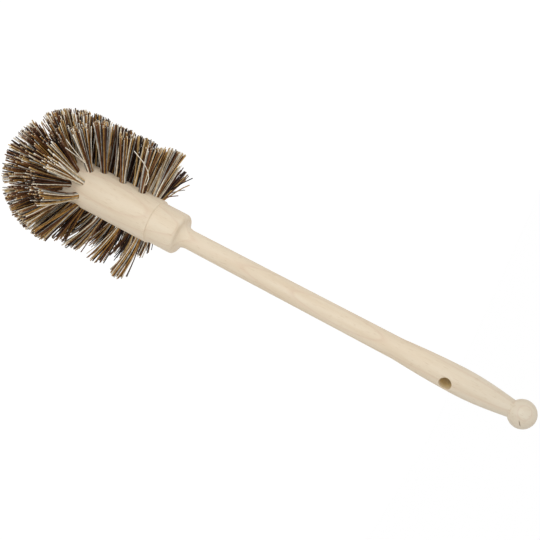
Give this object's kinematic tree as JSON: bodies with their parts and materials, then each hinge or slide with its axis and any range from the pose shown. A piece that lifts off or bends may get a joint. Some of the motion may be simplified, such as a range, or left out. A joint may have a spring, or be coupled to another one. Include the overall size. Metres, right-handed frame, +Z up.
{
  "type": "toilet brush",
  "caption": "Hanging toilet brush: a wooden stem, ball end and brush head turned in one piece, with stiff plant-fibre tufts in drilled holes and a hole through the grip.",
  "frame": {"origin": "centre of the hanging hole, on the body's turning axis", "axes": "+Z up along the turning axis, from the bristle head to the ball end, as the brush hangs; Y along the hanging hole"},
  "size_m": [0.0946, 0.0947, 0.3922],
  "materials": {
    "beech": "turned and fine-sanded, unvarnished",
    "plant_fibre": "stiff mixed plant fibre, matt to slightly glossy"
  },
  "bodies": {
    "root": {"wood_body": "beech", "tuft_a1": "plant_fibre", "tuft_a2": "plant_fibre", "tuft_a3": "plant_fibre", "tuft_a4": "plant_fibre", "tuft_a5": "plant_fibre", "tuft_b1": "plant_fibre", "tuft_b2": "plant_fibre", "tuft_b3": "plant_fibre", "tuft_b4": "plant_fibre", "tuft_b5": "plant_fibre", "tuft_c1": "plant_fibre", "tuft_c2": "plant_fibre", "tuft_c3": "plant_fibre", "tuft_c4": "plant_fibre", "tuft_c5": "plant_fibre", "tuft_d1": "plant_fibre", "tuft_d2": "plant_fibre", "tuft_d3": "plant_fibre", "tuft_d4": "plant_fibre", "tuft_d5": "plant_fibre", "tuft_e1": "plant_fibre", "tuft_e2": "plant_fibre", "tuft_e3": "plant_fibre", "tuft_e4": "plant_fibre", "tuft_e5": "plant_fibre", "tuft_f1": "plant_fibre", "tuft_f2": "plant_fibre", "tuft_f3": "plant_fibre", "tuft_f4": "plant_fibre", "tuft_f5": "plant_fibre", "tuft_g1": "plant_fibre", "tuft_g2": "plant_fibre", "tuft_g3": "plant_fibre", "tuft_g4": "plant_fibre", "tuft_g5": "plant_fibre", "tuft_g6": "plant_fibre", "tuft_g7": "plant_fibre", "tuft_g8": "plant_fibre", "tuft_g9": "plant_fibre", "tuft_h1": "plant_fibre", "tuft_h2": "plant_fibre", "tuft_h3": "plant_fibre", "tuft_h4": "plant_fibre", "tuft_h5": "plant_fibre", "tuft_h6": "plant_fibre", "tuft_h7": "plant_fibre", "tuft_h8": "plant_fibre", "tuft_h9": "plant_fibre", "tuft_nose1": "plant_fibre", "tuft_nose2": "plant_fibre", "tuft_nose3": "plant_fibre", "tuft_nose4": "plant_fibre", "tuft_nose5": "plant_fibre", "tuft_nose6": "plant_fibre", "tuft_face1": "plant_fibre", "tuft_face2": "plant_fibre", "tuft_face3": "plant_fibre", "tuft_tip": "plant_fibre"}
  },
  "joints": []
}
